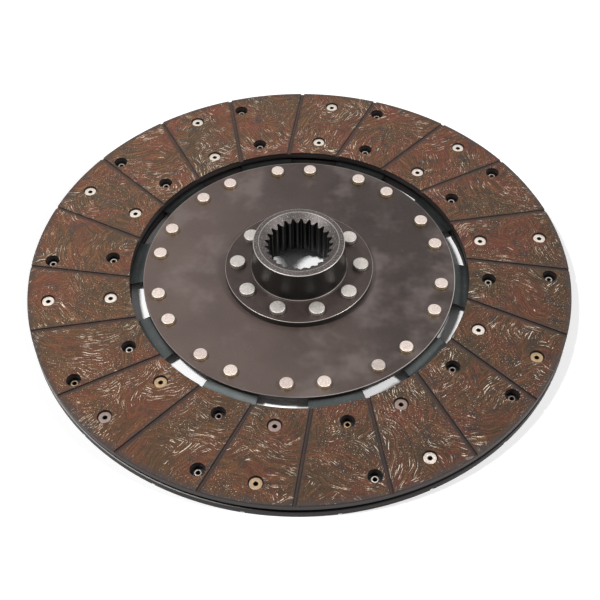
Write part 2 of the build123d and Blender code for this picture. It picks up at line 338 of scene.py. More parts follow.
class Graph:
    """A node tree under construction."""

    def __init__(self, tree):
        self.tree = tree

    def node(self, kind, settings=None, inputs=None, output=0):
        """Adds a node: its settings first, then values or links for its sockets.

        Returns the term of the named output, several for a tuple of names, and all of them for None.
        """
        node = self.tree.nodes.new(kind)
        for name, value in (settings or {}).items():
            setattr(node, name, value)
        for name, value in (inputs or {}).items():
            self.feed(node.inputs[name], value)
        if output is None:
            return [Term(self, socket) for socket in node.outputs]
        if isinstance(output, tuple):
            return [Term(self, node.outputs[name]) for name in output]
        return Term(self, node.outputs[output])

    def feed(self, socket, value):
        """Links a term to a socket, or sets the socket's own value."""
        if isinstance(value, Term):
            self.tree.links.new(value.socket, socket)
        elif hasattr(value, "__len__") and len(value) == 3 and socket.type == "RGBA":
            socket.default_value = (*value, 1)
        else:
            socket.default_value = value

    def maths(self, operation, *terms):
        """One Math node on terms and numbers."""
        return self.node("ShaderNodeMath", {"operation": operation}, dict(enumerate(terms)))

    def largest(self, first, *others):
        """The largest of several terms."""
        for other in others:
            first = self.maths("MAXIMUM", first, other)
        return first

    def distance(self, x, y):
        """The distance from the origin to a point in the plane."""
        return self.maths("SQRT", x * x + y * y)

    def vector(self, operation, *vectors):
        """One Vector Math node on vectors."""
        return self.node("ShaderNodeVectorMath", {"operation": operation}, dict(enumerate(vectors)))

    def scaled(self, vector, factor):
        """A vector made longer or shorter, or a colour lighter or darker."""
        return self.node("ShaderNodeVectorMath", {"operation": "SCALE"}, {0: vector, "Scale": factor})

    def combined(self, x=0.0, y=0.0, z=0.0):
        """A vector of three parts."""
        return self.node("ShaderNodeCombineXYZ", None, {"X": x, "Y": y, "Z": z})

    def parts(self, vector):
        """The three parts of a vector or a colour."""
        return self.node("ShaderNodeSeparateXYZ", None, {0: vector}, None)

    def remapped(self, value, low, high, low_result=0.0, **settings):
        """The value as a share of the way from low to high, kept between low_result and 1."""
        inputs = {"Value": value, "From Min": low, "From Max": high, "To Min": low_result}
        return self.node("ShaderNodeMapRange", settings, inputs)


def empty_tree(owner):
    """The cleared node tree of a material or a world."""
    owner.use_nodes = True
    owner.node_tree.nodes.clear()
    return owner.node_tree


class Finish(Graph):
    """A material under construction, in the piece's own Object coordinates."""

    def __init__(self, name):
        self.material = bpy.data.materials.new(name)
        super().__init__(empty_tree(self.material))
        self.mm = self.scaled(self.node("ShaderNodeTexCoord", output="Object"), 1 / MM)
        self.x, self.y, self.z = self.parts(self.mm)
        self.radius = self.distance(self.x, self.y)

    def attribute(self, name, output):
        """An attribute of the piece."""
        return self.node("ShaderNodeAttribute", {"attribute_name": name}, None, output)

    def noise(self, place, size, detail=2.0, roughness=0.5, output="Fac"):
        """Noise whose features are about size millimetres across, on a place in millimetres."""
        inputs = {"Vector": place, "Scale": 1 / size, "Detail": detail, "Roughness": roughness}
        return self.node("ShaderNodeTexNoise", None, inputs, output)

    def noises(self, place, **look):
        """Three independent noises of one look."""
        return self.parts(self.noise(place, **look, output="Color"))

    def ramp(self, value, low, high):
        """0 below low, 1 above high and smooth between; turned round when low is the larger."""
        return self.remapped(value, low, high, interpolation_type="SMOOTHSTEP")

    def line(self, value, centre, half_width):
        """1 on the centre value, falling to 0 at half_width either side."""
        return self.ramp(self.maths("ABSOLUTE", value - centre), half_width, 0)

    def mix(self, factor, first, second):
        """A mixture of two colours."""
        return self.node("ShaderNodeMix", {"data_type": "RGBA"}, {0: factor, 6: first, 7: second}, 2)

    def bump(self, height, depth):
        """A bumped normal; height 1 stands out by depth metres."""
        inputs = {"Height": height, "Distance": depth, "Strength": 1.0}
        return self.node("ShaderNodeBump", None, inputs, "Normal")

    def surface(self, tone, rough, metallic, normal, **others):
        """Ends the material in a Principled shader and returns the material."""
        inputs = {"Base Color": tone, "Roughness": rough, "Metallic": metallic, "Normal": normal}
        shader = self.node("ShaderNodeBsdfPrincipled", None, {**inputs, **others})
        self.node("ShaderNodeOutputMaterial", None, {"Surface": shader}, None)
        return self.material


def geometry_tree(name, **kinds):
    """A new tree with geometry, a material and other inputs by kind: its graph and its input terms."""
    tree = bpy.data.node_groups.new(name, "GeometryNodeTree")
    tree.is_modifier = True
    tree.interface.new_socket("Geometry", in_out="OUTPUT", socket_type="NodeSocketGeometry")
    for kind, names in {"Geometry": ["Geometry"], "Material": ["Material"], **kinds}.items():
        for socket in names:
            tree.interface.new_socket(socket, in_out="INPUT", socket_type=f"NodeSocket{kind}")
    graph = Graph(tree)
    given = graph.node("NodeGroupInput", output=None)
    return graph, {term.socket.name: term for term in given}


def finish_tree(graph, geometry, material):
    """Ends a geometry tree in real, painted geometry."""
    real = graph.node("GeometryNodeRealizeInstances", None, {"Geometry": geometry})
    painted = graph.node("GeometryNodeSetMaterial", None, {"Geometry": real, "Material": material})
    graph.node("NodeGroupOutput", None, {0: painted}, None)
    return graph.tree


def copies_on_points(graph, points, geometry, turn):
    """Copies of the geometry on points, each turned about its own Z axis."""
    rotation = graph.node("FunctionNodeEulerToRotation", None, {"Euler": graph.combined(z=turn)})
    copies = {"Points": points, "Instance": geometry, "Rotation": rotation}
    return graph.node("GeometryNodeInstanceOnPoints", None, copies)


def random_value(graph, highest, seed):
    """A random number between 0 and the highest for each point or copy."""
    inputs = {2: 0.0, 3: highest, "Seed": seed}
    return graph.node("FunctionNodeRandomValue", {"data_type": "FLOAT"}, inputs, 1)


def marked(graph, geometry, name, value, data_type, domain):
    """The geometry with a value kept in a named attribute."""
    inputs = {"Geometry": geometry, "Name": name, "Value": value}
    settings = {"data_type": data_type, "domain": domain}
    return graph.node("GeometryNodeStoreNamedAttribute", settings, inputs)


def turned_copies_tree():
    """Turns copies of a wedge about the disc's axis and welds them into one ring."""
    graph, given = geometry_tree("Turned copies", Int=["Count"], Float=["Phase", "Weld"])
    index = graph.node("GeometryNodeInputIndex")
    turn = given["Phase"] + index * FULL_TURN / given["Count"]
    points = graph.node("GeometryNodePoints", None, {"Count": given["Count"]})
    ring = copies_on_points(graph, points, given["Geometry"], turn)
    real = graph.node("GeometryNodeRealizeInstances", None, {"Geometry": ring})
    inputs = {"Geometry": real, "Distance": given["Weld"]}
    welded = graph.node("GeometryNodeMergeByDistance", None, inputs)
    return finish_tree(graph, welded, given["Material"])


def rivet_circle_tree():
    """Stands rivets on a circle in groups of one or two, each turned at random about itself."""
    numbers, lengths = ["Groups", "Per Group", "Seed"], ["Circle Radius", "Phase", "Spread"]
    graph, given = geometry_tree("Rivet circle", Int=numbers, Float=lengths)
    index = graph.node("GeometryNodeInputIndex")
    group = graph.maths("FLOOR", index / given["Per Group"])
    side = 2 * (index - group * given["Per Group"]) - given["Per Group"] + 1
    turn = given["Phase"] + group * FULL_TURN / given["Groups"] + side * given["Spread"]
    x, y = (given["Circle Radius"] * graph.maths(part, turn) for part in ("COSINE", "SINE"))
    total = {"Count": given["Groups"] * given["Per Group"], "Position": graph.combined(x, y)}
    points = graph.node("GeometryNodePoints", None, total)
    own_place = graph.node("GeometryNodeInputPosition")
    rivet = marked(graph, given["Geometry"], "own_place", own_place, "FLOAT_VECTOR", "POINT")
    circle = copies_on_points(graph, points, rivet, random_value(graph, FULL_TURN, given["Seed"]))
    own_shade = random_value(graph, 1.0, given["Seed"] + SHADE_SEED)
    shaded = marked(graph, circle, "own_shade", own_shade, "FLOAT", "INSTANCE")
    return finish_tree(graph, shaded, given["Material"])


# ---- mesh work


def polar(radius, turn, height=0.0):
    """A point at a radius and an angle in radians."""
    return Vector((radius * math.cos(turn), radius * math.sin(turn), height))


def arc(radius, start, end, height, steps):
    """Points along an arc about the disc's axis, both ends included."""
    turns = [start + (end - start) * i / steps for i in range(steps + 1)]
    return [polar(radius, turn, height) for turn in turns]


def circle(centre, radius, height):
    """Points of a closed circle round a centre in the plane."""
    turns = [FULL_TURN * i / CIRCLE_STEPS for i in range(CIRCLE_STEPS)]
    return [Vector((centre.x, centre.y, height)) + polar(radius, turn) for turn in turns]


def at_height(points, height):
    """The same points moved to a height."""
    return [Vector((point.x, point.y, height)) for point in points]


def rounded(corners, radius, closed=False):
    """An outline of (radius, height) points with its corners rounded; an open one keeps its ends."""
    points = []
    for i, corner in enumerate(corners):
        here = Vector(corner)
        if not closed and i in (0, len(corners) - 1):
            points.append(here)
            continue
        before = Vector(corners[i - 1]) - here
        after = Vector(corners[(i + 1) % len(corners)]) - here
        half = before.angle(after) / 2
        reach = min(radius / math.tan(half), LONGEST_FILLET * min(before.length, after.length))
        if here.x < WELD or reach < WELD:
            points.append(here)
            continue
        fillet = reach * math.tan(half)
        before.normalize()
        after.normalize()
        centre = here + (before + after).normalized() * fillet / math.sin(half)
        start = here + before * reach - centre
        end = here + after * reach - centre
        shares = [step / ROUNDING_STEPS for step in range(ROUNDING_STEPS + 1)]
        points += [centre + start.slerp(end, share) * fillet for share in shares]
    return points


def ladder(mesh, first, second, closed=False):
    """Faces between two rows with the same number of points."""
    rows = [[mesh.verts.new(point) for point in row] for row in (first, second)]
    for i in range(len(first) if closed else len(first) - 1):
        following = (i + 1) % len(first)
        mesh.faces.new((rows[0][i], rows[0][following], rows[1][following], rows[1][i]))


def flat_face(mesh, *outlines):
    """A flat area inside the first outline and outside the others."""
    edges = []
    for outline in outlines:
        corners = [mesh.verts.new(point) for point in outline]
        edges += [mesh.edges.new((corners[i - 1], corners[i])) for i in range(len(corners))]
    bmesh.ops.triangle_fill(mesh, use_beauty=True, use_dissolve=False, edges=edges)


def turned(outline, steps):
    """A (radius, height) outline turned about the Z axis; one that starts on the axis ends on it too."""
    mesh = bmesh.new()
    for i in range(steps):
        columns = [FULL_TURN * i / steps, FULL_TURN * (i + 1) / steps]
        first, second = ([polar(point[0], turn, point[1]) for point in outline] for turn in columns)
        ladder(mesh, first, second, closed=outline[0][0] > WELD)
    weld(mesh)
    return mesh


def weld(mesh):
    """Merges the points that faces share."""
    bmesh.ops.remove_doubles(mesh, verts=mesh.verts[:], dist=WELD)


def placed(name, data):
    """An object in the scene that shows a mesh, a lamp or a camera."""
    item = bpy.data.objects.new(name, data)
    bpy.context.scene.collection.objects.link(item)
    return item


def new_piece(name, mesh):
    """A piece at the origin from a bmesh, which is freed."""
    data = bpy.data.meshes.new(name)
    mesh.to_mesh(data)
    mesh.free()
    return placed(name, data)


def turned_over(name, front):
    """A copy of a front piece, turned over for the rear side."""
    data = front.data.copy()
    data.transform(TURNED_OVER)
    return placed(name, data)


def run_tree(piece, draw_tree, **values):
    """Runs a geometry tree on a piece and keeps the result as its plain mesh."""
    tree = draw_tree()
    modifier = piece.modifiers.new(tree.name, "NODES")
    modifier.node_group = tree
    for item in tree.interface.items_tree:
        if item.in_out == "INPUT" and item.name in values:
            modifier[item.identifier] = values[item.name]
    depsgraph = bpy.context.evaluated_depsgraph_get()
    shaped = piece.evaluated_get(depsgraph)
    data = bpy.data.meshes.new_from_object(shaped, preserve_all_data_layers=True, depsgraph=depsgraph)
    piece.modifiers.remove(modifier)
    spare = piece.data
    piece.data = data
    bpy.data.meshes.remove(spare)
    data.name = piece.name


def point_outwards(piece):
    """Turns every face of a closed piece outwards."""
    mesh = bmesh.new()
    mesh.from_mesh(piece.data)
    weld(mesh)
    bmesh.ops.recalc_face_normals(mesh, faces=mesh.faces[:])
    mesh.to_mesh(piece.data)
    mesh.free()


def shade(piece):
    """Smooth shading that stays sharp at steep edges and even on large faces."""
    piece.data.shade_smooth()
    piece.data.set_sharp_from_angle(angle=SHARP_ANGLE)
    weighted = piece.modifiers.new("Weighted normals", "WEIGHTED_NORMAL")
    weighted.keep_sharp = True


def hand_over(piece, slot, *nodes):
    """The finished piece rides on the disc in place of its CAD nodes."""
    point_outwards(piece)
    shade(piece)
    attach(piece, BODY)
    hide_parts(*nodes)


# ---- finishes


def swirl(finish, place, size, reach):
    """Patches of concentric yarns: the place across and along them, and a random value of each patch."""
    settings = {"voronoi_dimensions": "2D"}
    inputs = {"Vector": place, "Scale": 1 / size}
    patch, centre = finish.node("ShaderNodeTexVoronoi", settings, inputs, ("Color", "Position"))
    heading, presence, bend = finish.parts(patch)
    turn = heading * FULL_TURN
    cosine, sine = finish.maths("COSINE", turn), finish.maths("SINE", turn)
    x, y, _ = finish.parts(finish.vector("SUBTRACT", place, centre))
    tightest = 0.35  # smallest radius of a patch's rings, as a share of the reach
    radius = reach * (bend + tightest)
    out = radius + x * cosine + y * sine
    side = y * cosine - x * sine
    patch_gap = 90  # millimetres that keep one patch's yarns unlike another's
    across = finish.distance(out, side) + presence * patch_gap
    along = finish.maths("ARCTAN2", side, out) * radius
    return across, along, presence


def strand_places(finish, place):
    """Coordinates across and along the yarns: wide arcs with smaller bundles on top of some."""
    waviness = 9.0  # millimetres by which the arcs stray
    elsewhere = (211, 97, 0)  # keeps the bundles' patches unlike the arcs'
    plain_share = 0.55  # of the bundles' patches, where only the arcs show
    drift = finish.noise(place, size=16, detail=1.0, output="Color")
    drift = finish.vector("SUBTRACT", drift, (0.5, 0.5, 0.5))
    place = finish.vector("ADD", place, finish.scaled(drift, waviness))
    across, along, _ = swirl(finish, place, size=38, reach=60)
    place = finish.vector("ADD", place, elsewhere)
    over_across, over_along, presence = swirl(finish, place, size=19, reach=26)
    on_top = finish.maths("GREATER_THAN", presence, plain_share)
    across = across + (over_across - across) * on_top
    along = along + (over_along - along) * on_top
    return across, along, on_top


def groove_distance(finish, sizes):
    """Distance in millimetres from the nearest groove's centre line on the front facing."""
    turn, offset = groove_line(sizes)
    past_groove = finish.maths("ARCTAN2", finish.y, finish.x) - turn
    past_groove = past_groove - finish.maths("ARCSINE", offset / MM / finish.radius)
    pitch = FULL_TURN / (2 * len(SEGMENT_NODES))
    folded = finish.maths("FRACT", past_groove / pitch + 0.5) - 0.5
    return finish.maths("ABSOLUTE", folded) * finish.radius * pitch


def woven_lining(sizes, colours):
    """Moulded lining of swirling yarns with cut wire, darker in its grooves and on its walls."""
    yarn_length, fibre_width, fibre_length = 19, 0.36, 5.5  # millimetres; a yarn is 1 mm wide
    yarn_shift, fibre_shift = 31, 17  # keep the upper bundles unlike the arcs below
    finish = Finish("Woven lining")
    place = finish.vector("MULTIPLY", finish.mm, (1, 1, 3))  # finer up the walls
    across, along, on_top = strand_places(finish, place)
    yarn_place = finish.combined(across, along / yarn_length, on_top * yarn_shift)
    yarn, hue, _ = finish.noises(yarn_place, size=1.0, detail=1.0)
    fibre_place = finish.combined(across / fibre_width, along / fibre_length, on_top * fibre_shift)
    fibre, wire, _ = finish.noises(fibre_place, size=1.0, detail=0.5)
    region, wire_region, dot_region = finish.noises(place, size=30, detail=1.5)
    patch, wire_patch, _ = finish.noises(place, size=9, detail=2.0, roughness=0.6)
    grain, dot, fleck = finish.noises(finish.mm, size=0.8, detail=1.0, roughness=0.6)

    # The yarns' colours, older and golder at the lower left
    tone = finish.mix(finish.ramp(yarn, 0.49, 0.64) * 0.85, colours.lining_brown, colours.lining_gold)
    tone = finish.mix(finish.ramp(hue + region, 1.00, 1.20) * 0.7, tone, colours.lining_rust)
    tone = finish.mix(finish.ramp(hue + region, 0.97, 0.82) * 0.7, tone, colours.lining_olive)
    tone = finish.mix(finish.ramp(patch, 0.56, 0.66) * 0.6, tone, colours.lining_grey)
    aged = finish.ramp(finish.x + finish.y, -60, -230) * 0.35
    tone = finish.mix(aged, tone, finish.scaled(colours.lining_gold, 0.65))
    light = yarn * 0.75 + fibre * 0.80 + grain * 0.80 - 0.20
    # The yarns brighter towards the back left and darker towards the front right: painted light.
    yarns = finish.scaled(tone, light * (0.86 + (finish.y - finish.x) * 0.0010))

    # Cut wire, dots and flecks that catch the light
    wires = finish.ramp(wire, 0.65, 0.70) * finish.ramp(wire_region + wire_patch, 0.97, 1.13)
    wires = wires * finish.ramp(grain, 0.30, 0.55)
    dots = finish.ramp(dot, 0.67, 0.73) * finish.ramp(dot_region, 0.40, 0.56)
    flecks = finish.ramp(fleck, 0.68, 0.76)
    bright = finish.largest(wires, dots * 0.85, flecks * 0.28)

    # Greyer margins beside the grooves and the rim
    from_groove = groove_distance(finish, sizes)
    rim_radius = sizes.outer_radius / MM
    edge = finish.ramp(from_groove + (patch - 0.5) * 6 + (grain - 0.5) * 3, 3.0, 1.2)
    rim = finish.ramp(finish.radius + (patch - 0.5) * 10, rim_radius - 4.5, rim_radius - 1.0)
    margin = finish.largest(edge, rim)
    tone = finish.mix(margin * 0.7, yarns, colours.lining_grey)

    # Dark walls, with a painted highlight at mid height and painted shade on the rear facing; dusty
    # groove floors, paler to the back as painted light
    middle = DISC_THICKNESS / 2 / MM
    wall_middle = (FACING_HIGH.z - FACING_LOW.z) / 2 / MM
    rear_top = (DISC_THICKNESS - FACING_LOW.z) / MM
    floor_depth = sizes.groove_depth / MM
    depth = middle - finish.maths("ABSOLUTE", finish.z - middle)
    wall = finish.ramp(depth, 0.10, 0.40)
    bright = bright * (1 - margin * 0.5) * (1 - wall)
    tone = finish.mix(bright, tone, colours.lining_wire)
    # The rear facing's walls half as bright: painted shade.
    shaded = 0.5 + finish.ramp(finish.z, rear_top, FACING_LOW.z / MM) * 0.5
    # Grain on the walls, and a painted highlight along the middle of each wall's height.
    wall_grain_and_highlight = 0.6 + grain * 0.4 + finish.line(depth, wall_middle, 1.6) * 0.7
    wall_tone = finish.scaled(colours.lining_wall, wall_grain_and_highlight * shaded)
    above_floor = finish.ramp(depth, floor_depth + 0.10, floor_depth + 0.05)
    groove_floor = finish.ramp(depth, floor_depth - 0.10, floor_depth - 0.05) * above_floor
    filled = groove_floor * finish.ramp(patch * 0.6 + grain * 0.4, 0.46, 0.58)
    wall_tone = finish.scaled(wall_tone, 1 + groove_floor * 0.35)
    wall_tone = finish.mix(filled * 0.7, wall_tone, finish.scaled(yarns, 0.75))
    packed_dust_and_light = finish.ramp(from_groove, 1.9, 1.5) * above_floor
    # More of the pale dust towards the back (+Y): painted light where the grooves show less shade.
    packed_dust_and_light = packed_dust_and_light * (0.40 + finish.ramp(finish.y, -60, 70) * 0.50)
    dust = finish.mix(0.6, finish.scaled(yarns, 0.85), colours.lining_grey)
    wall_tone = finish.mix(packed_dust_and_light, wall_tone, dust)
    tone = finish.mix(wall, tone, wall_tone)

    # A painted highlight along the rear facing's rim at the left
    lit_rim = finish.line(finish.z, rear_top, 0.6)
    lit_rim = lit_rim * finish.ramp(finish.radius, rim_radius - 0.7, rim_radius - 0.4)
    lit_rim = lit_rim * finish.ramp(finish.x + finish.y * 0.3, -70, -130)
    tone = finish.mix(lit_rim * 0.8, tone, colours.worn_edge)

    normal = finish.bump(yarn * 0.5 + fibre * 0.3 + bright * 0.3, 0.15 * MM)
    rough = 0.62 - bright * 0.2 - wall * 0.17
    gloss = {"Specular IOR Level": 0.15}
    return finish.surface(tone, rough, metallic=bright * 0.3, normal=normal, **gloss)


def oiled_plate(sizes, colours):
    """Dark satin steel mottled by oil and handling, paler to the left as a painted reflection, with
    painted shade on its edge and a rubbed rim that carries a painted highlight.
    """
    finish = Finish("Oiled plate steel")
    smoke, cloud, _ = finish.noises(finish.mm, size=30, detail=3.0, roughness=0.6)
    speck, dust, _ = finish.noises(finish.mm, size=1.5, detail=2.0, roughness=0.6)
    cloudy = finish.noise(finish.mm, size=75, detail=1.0) * 0.3
    # Paler towards the left: a painted reflection.
    painted_sheen = finish.ramp(0.15 + cloudy - (finish.x + finish.y * 0.3) * 0.0055, -0.1, 0.75)
    tone = finish.scaled(colours.plate, 0.02 + cloud * 0.65 + speck * 0.30 + painted_sheen * 0.90)
    tone = finish.mix(finish.ramp(smoke, 0.48, 0.74) * 0.50, tone, colours.plate_smoke)
    tone = finish.mix(finish.ramp(dust, 0.74, 0.80) * 0.4, tone, colours.plate_dust)
    flat_end = (sizes.outer_radius - sizes.edge) / MM
    # Painted shade over the plate's rounded edge and rim wall.
    tone = finish.scaled(tone, 1 - finish.ramp(finish.radius, flat_end + 0.15, flat_end + 0.34) * 0.75)
    # Wear all round the rim, with a painted highlight along it that is strongest at the lower right.
    rubbed_and_lit = 0.3 + finish.ramp(finish.x * 0.75 - finish.y * 0.65, 50, 90) * 0.7
    worn_and_highlit = finish.line(finish.radius, flat_end, 0.34) * finish.ramp(cloud, 0.25, 0.50) * rubbed_and_lit
    tone = finish.mix(worn_and_highlit * 0.9, tone, colours.worn_edge)
    rough = 0.42 - smoke * 0.12 + speck * 0.06 - worn_and_highlit * 0.15
    normal = finish.bump(speck, 0.02 * MM)
    return finish.surface(tone, rough, metallic=0.35 + worn_and_highlit * 0.6, normal=normal)


def spring_sheet(colours):
    """Blue-grey tempered sheet."""
    finish = Finish("Tempered spring steel")
    cloud = finish.noise(finish.mm, size=12, detail=3.0, roughness=0.6)
    speck, dust, _ = finish.noises(finish.mm, size=1.1, detail=2.0, roughness=0.6)
    tone = finish.scaled(colours.spring, 0.45 + cloud * 0.7 + speck * 0.4)
    tone = finish.mix(finish.ramp(dust, 0.68, 0.78) * 0.3, tone, colours.worn_edge)
    normal = finish.bump(speck, 0.012 * MM)
    return finish.surface(tone, rough=0.42 + speck * 0.12, metallic=0.92, normal=normal)


def phosphated_hub(sizes, colours):
    """Dark forging with a machined nose, painted shade in its slots, and rubbed edges that carry painted
    highlights too.
    """
    finish = Finish("Phosphated hub")
    cloud = finish.noise(finish.mm, size=8, detail=3.0, roughness=0.6)
    speck, sparkle, _ = finish.noises(finish.mm, size=0.7, detail=2.0, roughness=0.7)
    flange_z, rim_z, top_z = sizes.flange_top / MM, sizes.rim / MM, HUB_HIGH.z / MM
    ridge, tip, root = sizes.ridge / MM, sizes.tip / MM, sizes.root / MM
    barrel, collar = sizes.barrel_root / MM, sizes.collar / MM
    radius, z = finish.radius, finish.z

    # The flange's flat top, the nose round the bore and the slots, darkened with painted shade
    dark = finish.scaled(colours.hub, 0.4 + cloud * 0.7 + speck * 0.5)
    on_flange = finish.ramp(radius, barrel - 0.2, collar + 0.2)
    on_flange = on_flange * finish.ramp(z, flange_z - 0.5, flange_z - 0.1)
    dark = finish.mix(on_flange, dark, finish.scaled(colours.plate, 0.35 + cloud * 0.7))
    # Painted shade in the spline slots.
    slot_shade = finish.ramp(radius, tip + 0.10, tip + 0.50) * finish.ramp(radius, root + 0.6, root + 0.3)
    dark = finish.scaled(dark, 1 - slot_shade * 0.7)
    nose_tone = finish.scaled(colours.hub_nose, 0.36 + cloud * 0.45 + speck * 0.55)
    nose_tone = finish.mix(finish.ramp(sparkle, 0.55, 0.72) * 0.5, nose_tone, colours.worn_edge)
    cone_rise = (ridge - radius) * math.tan(sizes.lead_in)
    cone = finish.ramp(z + cone_rise, top_z - 0.40, top_z - 0.20)
    cone = cone * finish.ramp(radius, ridge + 0.4, ridge)
    land = finish.ramp(z, rim_z - 0.15, rim_z + 0.05) * finish.ramp(radius, ridge - 0.4, ridge)
    nose = finish.largest(cone, land)
    tone = finish.mix(nose, dark, nose_tone)

    # Edges rubbed to bare steel, their lines brightened as painted highlights too
    collar_z = flange_z + sizes.collar_height / MM
    worn_and_highlit = finish.largest(
        finish.line(radius, sizes.barrel_top / MM, 0.70) * finish.line(z, rim_z, 0.45),
        finish.line(radius, ridge, 0.40) * finish.ramp(z, rim_z, rim_z + 0.5) * 0.5,
        finish.line(radius, collar, 0.50) * finish.line(z, collar_z, 0.45) * 0.7,
        finish.line(radius, sizes.flange / MM, 0.50) * finish.line(z, flange_z, 0.50),
    )
    tone = finish.mix(worn_and_highlit, tone, colours.worn_edge)
    rough = 0.34 + speck * 0.12 + nose * 0.06 - worn_and_highlit * 0.05
    normal = finish.bump(speck, 0.02 * MM)
    return finish.surface(tone, rough, metallic=0.45 + worn_and_highlit * 0.5, normal=normal)


def plated_rivet(name, ends, tones, shaded_side, bore=0.0):
    """Plated steel: ends in three tones from clean to tarnished, sides darkened with painted shade,
    painted shade in any bore.
    """
    ring_shift = 40  # keeps one rivet's turning marks unlike another's
    finish = Finish(name)
    own_x, own_y, own_z = finish.parts(finish.attribute("own_place", "Vector"))
    own_shade = finish.attribute("own_shade", "Fac")
    own_radius = finish.distance(own_x, own_y) / MM
    ring_place = finish.combined(own_radius, own_shade * ring_shift)
    rings = finish.noise(ring_place, size=0.35, detail=1.0)
    mottle, stain, pits = finish.noises(finish.mm, size=1.1, detail=2.0, roughness=0.7)
    clean, dull, tarnished = tones
    picked = (own_shade + finish.ramp(finish.y, -20, -110)) * 0.5 + (stain - 0.5) * 0.2
    tone = finish.mix(finish.ramp(picked, 0.50, 0.60), clean, dull)
    tone = finish.mix(finish.ramp(picked, 0.76, 0.84), tone, tarnished)
    tone = finish.scaled(tone, 0.38 + mottle * 0.80 + rings * 0.35)
    low, high = ends
    from_end = finish.maths("MINIMUM", high - own_z, own_z - low) / MM
    # The sides take the side colour, darker than the ends: painted shade.
    tone = finish.mix(finish.ramp(from_end, 0.20, 0.60), tone, finish.scaled(shaded_side, 0.55 + mottle * 0.6))
    if bore:
        # Painted shade in and round the bore.
        inside = finish.ramp(own_radius, bore / MM + 0.45, bore / MM + 0.10)
        tone = finish.scaled(tone, 1 - inside * 0.9)
    rough = 0.26 + mottle * 0.25 + pits * 0.15
    normal = finish.bump(mottle * 0.6 + rings * 0.4, 0.05 * MM)
    return finish.surface(tone, rough, metallic=0.85, normal=normal)


# ---- pieces


def groove_line(sizes):
    """The angle and offset of the first groove's centre line: radius * sin(angle - turn) = offset."""
    rim = polar(sizes.outer_radius, sizes.groove_angle)
    bore = polar(sizes.inner_radius, sizes.groove_angle + sizes.groove_sweep)
    run = rim - bore
    turn = math.atan2(run.y, run.x)
    offset = rim.y * math.cos(turn) - rim.x * math.sin(turn)
    return turn, offset


def facing_circles(sizes):
    """Radius of each circle of tubular rivets, and their angle from a segment's middle."""
    outer = (sizes.outer_circle, sizes.outer_spread)
    return {"outer": outer, "inner": (sizes.inner_circle, sizes.inner_spread)}


def foot_rivet_places(rivets, middle):
    """Places of the two rivets in the foot of the segment whose middle is at an angle."""
    turns = [middle + rivets.foot_phase + sign * rivets.foot_spread for sign in (-1, 1)]
    return [polar(rivets.foot_circle, turn) for turn in turns]


def facing_wedge(sizes, unit):
    """The front facing from one groove to the next but one: two pads, grooves, holes and walls."""
    mesh = bmesh.new()
    top, bottom, edge = FACING_HIGH.z, FACING_LOW.z, sizes.edge
    floor, land = top - sizes.groove_depth, top - sizes.land_depth
    half = sizes.groove_width / 2
    turn, offset = groove_line(sizes)

    def side(radius, number, shift):
        """The angle at which a line beside a groove crosses a radius."""
        return turn + number * unit / 2 + math.asin((offset + shift) / radius)

    def pad_outline(number, inset, height):
        """Inner and outer arc of the pad after a groove, drawn in from its edges by inset."""
        inner, outer = sizes.inner_radius + inset, sizes.outer_radius - inset
        low, high = (number, half + inset), (number + 1, -half - inset)
        inside = arc(inner, side(inner, *low), side(inner, *high), height, PAD_STEPS)
        outside = arc(outer, side(outer, *high), side(outer, *low), height, PAD_STEPS)
        return inside, outside

    def hole(centre, end):
        """A counterbore's wall with a broken top edge."""
        rim = circle(centre, sizes.counterbore, top - edge)
        ladder(mesh, circle(centre, sizes.counterbore + edge, top), rim, closed=True)
        ladder(mesh, rim, at_height(rim, end), closed=True)

    circles = facing_circles(sizes).values()
    held = [polar(radius, unit / 2 - spread) for radius, spread in circles]
    passed = [polar(radius, unit / 2 + spread) for radius, spread in circles]
    for centre in held:
        land_rim = circle(centre, sizes.land_hole, land)
        hole(centre, land)
        ladder(mesh, circle(centre, sizes.counterbore, land), land_rim, closed=True)
        ladder(mesh, land_rim, at_height(land_rim, bottom), closed=True)
    for centre in passed:
        hole(centre, bottom)

    for number, centres in enumerate((held, passed)):
        inside, outside = pad_outline(number, edge, top)
        rims = [circle(centre, sizes.counterbore + edge, top) for centre in centres]
        flat_face(mesh, inside + outside, *rims)
        low_inside, low_outside = pad_outline(number, 0, top - edge)
        around = low_inside + low_outside
        ladder(mesh, inside + outside, around, closed=True)
        ladder(mesh, around, at_height(around, floor), closed=True)

    radii = (sizes.inner_radius, sizes.outer_radius)
    for number, shifts in ((0, (0, half)), (1, (-half, 0, half)), (2, (-half, 0))):
        rows = []
        for radius in radii:
            rows.append([polar(radius, side(radius, number, shift), floor) for shift in shifts])
        ladder(mesh, *rows)

    feet = []
    for radius, inset in zip(radii, (edge, -edge)):
        row = []
        for number in (0, 1):
            row.append(polar(radius, side(radius, number, 0), floor))
            start, end = side(radius, number, half), side(radius, number + 1, -half)
            row += arc(radius, start, end, floor, PAD_STEPS)
        row.append(polar(radius, side(radius, 2, 0), floor))
        low_row = at_height(row, bottom + edge)
        foot = [point * ((radius + inset) / radius) for point in at_height(row, 0)]
        feet.append(at_height(foot, bottom))
        ladder(mesh, row, low_row)
        ladder(mesh, low_row, feet[-1])
    holes = [circle(centre, sizes.land_hole, bottom) for centre in held]
    holes += [circle(centre, sizes.counterbore, bottom) for centre in passed]
    flat_face(mesh, feet[0] + feet[1][::-1], *holes)
    weld(mesh)
    return mesh


